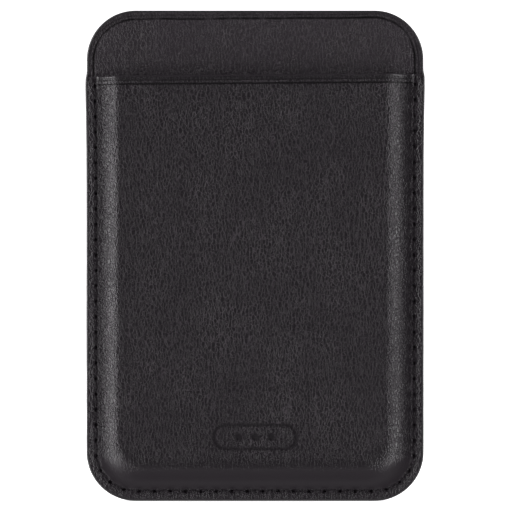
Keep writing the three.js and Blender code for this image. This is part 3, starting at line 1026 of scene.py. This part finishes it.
def metal(name, pale, dark, stretch, low, high):
    """Plated or rolled metal with fine lines along one direction."""
    n = Nodes(name)
    lines = n.noise(n.millimetres(scale=stretch), 4.0, 3.0, 0.6)
    clouds = n.noise(n.millimetres(), 0.3, 2.0, 0.5)
    colour = n.mix(n.remap(clouds, 0.3, 0.7), (*dark, 1), (*pale, 1))
    n.set(Base_Color=colour, Metallic=1.0, Roughness=n.remap(lines, 0.3, 0.7, low, high))
    n.set(Normal=n.relief(lines, 0.008))
    return n.material


def paint(piece, material):
    piece.data.materials.clear()
    piece.data.materials.append(material)


def dress(piece, material, stands_for):
    """Gives a piece its material and body, and hides the CAD node it stands for."""
    paint(piece, material)
    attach(piece, "root")
    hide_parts(stands_for)


# Each leather's second colour is its valleys' colour, painted paler: a painted highlight.
FRONT_GRAIN_PAINTED_HIGHLIGHT = leather("front_leather", 0.20, (0.0044, 0.0008, 0.0044), (0.0660, 0.0545, 0.0650))
# Painted light: the panel's leather is a lighter copy of the front's, for a panel that shows brighter.
PANEL_GRAIN_PAINTED_LIGHT = leather("panel_leather_painted_light", 0.21, (0.0265, 0.0205, 0.0255), (0.1080, 0.0960, 0.1050))
PAINT = edge_paint("edge_paint", (0.022, 0.0205, 0.0225), (0.034, 0.032, 0.035), 0.02)
# Painted shade: the mouth's paint is a darker copy of the edge paint, standing in for the shade along the
# mouth.
MOUTH_PAINT_PAINTED_SHADE = edge_paint("mouth_paint", (0.010, 0.006, 0.010), (0.034, 0.028, 0.034), 0.07)
THREAD = thread()
CLOTH = microfibre()
BOARD = board()
NICKEL = metal("nickel", (0.66, 0.64, 0.60), (0.54, 0.53, 0.50), (1, 1, 1), 0.2, 0.38)
STEEL = metal("steel", (0.46, 0.46, 0.47), (0.36, 0.36, 0.37), (8, 1, 0.4), 0.3, 0.5)

front = make_front()
facing = make_facing()
back = make_back()
edge = make_edge()
slot_edge = make_slot_edge()
mouth_edge = make_mouth_edge()
cloth = make_lining()
front_thread = make_thread("front_stitches", FLANGE, 1)
back_thread = make_thread("back_stitches", 0.0, -1)

dress(front, FRONT_GRAIN_PAINTED_HIGHLIGHT, "front_cover")
dress(facing, PANEL_GRAIN_PAINTED_LIGHT, "back_facing")
dress(back, FRONT_GRAIN_PAINTED_HIGHLIGHT, "back_cover")
dress(edge, PAINT, "edge_coat")
dress(slot_edge, PAINT, "slot_edge_coat")
dress(mouth_edge, MOUTH_PAINT_PAINTED_SHADE, "mouth_edge_coat")
dress(cloth, CLOTH, "front_lining")
dress(front_thread, THREAD, "front_thread")
dress(back_thread, THREAD, "back_thread")

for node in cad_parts:
    if "magnet" in node:
        paint(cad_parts[node], NICKEL)
paint(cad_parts["core_board"], BOARD)
paint(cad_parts["front_stiffener"], BOARD)
paint(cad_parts["shield_plate"], STEEL)

# ---- stage -----------------------------------------------------------------


def white(name, strength):
    """A white surface that glows evenly."""
    n = Nodes(name)
    n.set(Base_Color=(0.9, 0.9, 0.9, 1), Roughness=0.9)
    n.set(Emission_Color=(1, 1, 1, 1), Emission_Strength=strength)
    return n.material


def make_stage():
    """A pale floor under the holder and a pale shell around it. Neither throws
    light on the holder: the lamps do that."""
    size = 4.0
    floor = bpy.data.meshes.new("floor")
    level = (BOTTOM - 0.05) * MM
    corners = [(-size, -size, level), (size, -size, level), (size, size, level), (-size, size, level)]
    floor.from_pydata(corners, [], [(0, 1, 2, 3)])
    ground = bpy.data.objects.new("floor", floor)
    bpy.context.scene.collection.objects.link(ground)
    bpy.ops.mesh.primitive_uv_sphere_add(segments=48, ring_count=24, radius=size)
    shell = bpy.context.object
    shell.name = "backdrop"
    for piece, material in ((ground, white("floor", 0.9)), (shell, white("backdrop", 1.1))):
        piece.data.materials.append(material)
        piece.visible_diffuse = False
        piece.visible_glossy = False


def lamp(name, at, aim, width, height, power):
    """A rectangular lamp, sized in metres, turned to face the aim."""
    data = bpy.data.lights.new(name, "AREA")
    data.shape = "RECTANGLE"
    data.size = width
    data.size_y = height
    data.energy = power
    light = bpy.data.objects.new(name, data)
    light.location = at
    direction = Vector(aim) - Vector(at)
    light.rotation_euler = direction.to_track_quat("-Z", "Y").to_euler()
    bpy.context.scene.collection.objects.link(light)
    return light


def make_lights():
    """A tall box on each side, just behind the holder's plane, so that only the
    shoulders catch it; a weaker one at the left, further forward; light off the table
    from below; and a weak box behind and above."""
    middle = Vector((0, 0, (TOP + BOTTOM) / 2 * MM))
    lamp("left_box", (-0.69, 0.13, -0.05), middle, 0.30, 1.20, 9.0)
    lamp("left_fill", (-0.68, -0.18, -0.05), middle, 0.30, 1.10, 3.0)
    lamp("right_box", (0.70, 0.05, -0.05), middle, 0.30, 1.20, 8.2)
    lamp("table_light", (0.0, -0.45, -0.50), middle, 1.2, 0.6, 0.7)
    lamp("back_box", (0.0, 0.70, 0.45), middle, 0.9, 0.5, 1.2)
    make_world()


def make_world():
    """Soft room light from all round, weaker from above."""
    world = bpy.data.worlds.new("studio")
    world.use_nodes = True
    tree = world.node_tree
    toward = tree.nodes.new("ShaderNodeTexCoord")
    parts = tree.nodes.new("ShaderNodeSeparateXYZ")
    strength = tree.nodes.new("ShaderNodeMapRange")
    for key, value in {"From Min": -1.0, "From Max": 1.0, "To Min": 0.45, "To Max": 0.32}.items():
        strength.inputs[key].default_value = value
    tree.links.new(toward.outputs["Generated"], parts.inputs[0])
    tree.links.new(parts.outputs["Z"], strength.inputs["Value"])
    tree.links.new(strength.outputs["Result"], tree.nodes["Background"].inputs["Strength"])
    tree.nodes["Background"].inputs["Color"].default_value = (1.0, 0.95, 1.0, 1)
    bpy.context.scene.world = world


def make_camera():
    """Straight in front, with a long lens. The silhouette is the painted edge, so
    the edge's middle is what fills the given share of the picture."""
    lens, sensor, filled = 200.0, 36.0, 0.95625
    distance = (TOP - BOTTOM) / filled * lens / sensor
    edge_middle = FLANGE / 2
    data = bpy.data.cameras.new("camera")
    data.lens = lens
    data.sensor_width = sensor
    data.clip_start = 0.01
    camera = bpy.data.objects.new("camera", data)
    camera.location = (0.0, -(distance + edge_middle) * MM, (TOP + BOTTOM) / 2 * MM)
    camera.rotation_euler = (math.pi / 2, 0, 0)
    bpy.context.scene.collection.objects.link(camera)
    bpy.context.scene.camera = camera
    data.shift_x = 0.00176
    data.shift_y = -0.00078


make_stage()
make_lights()
make_camera()
bpy.context.scene.view_settings.view_transform = "Standard"
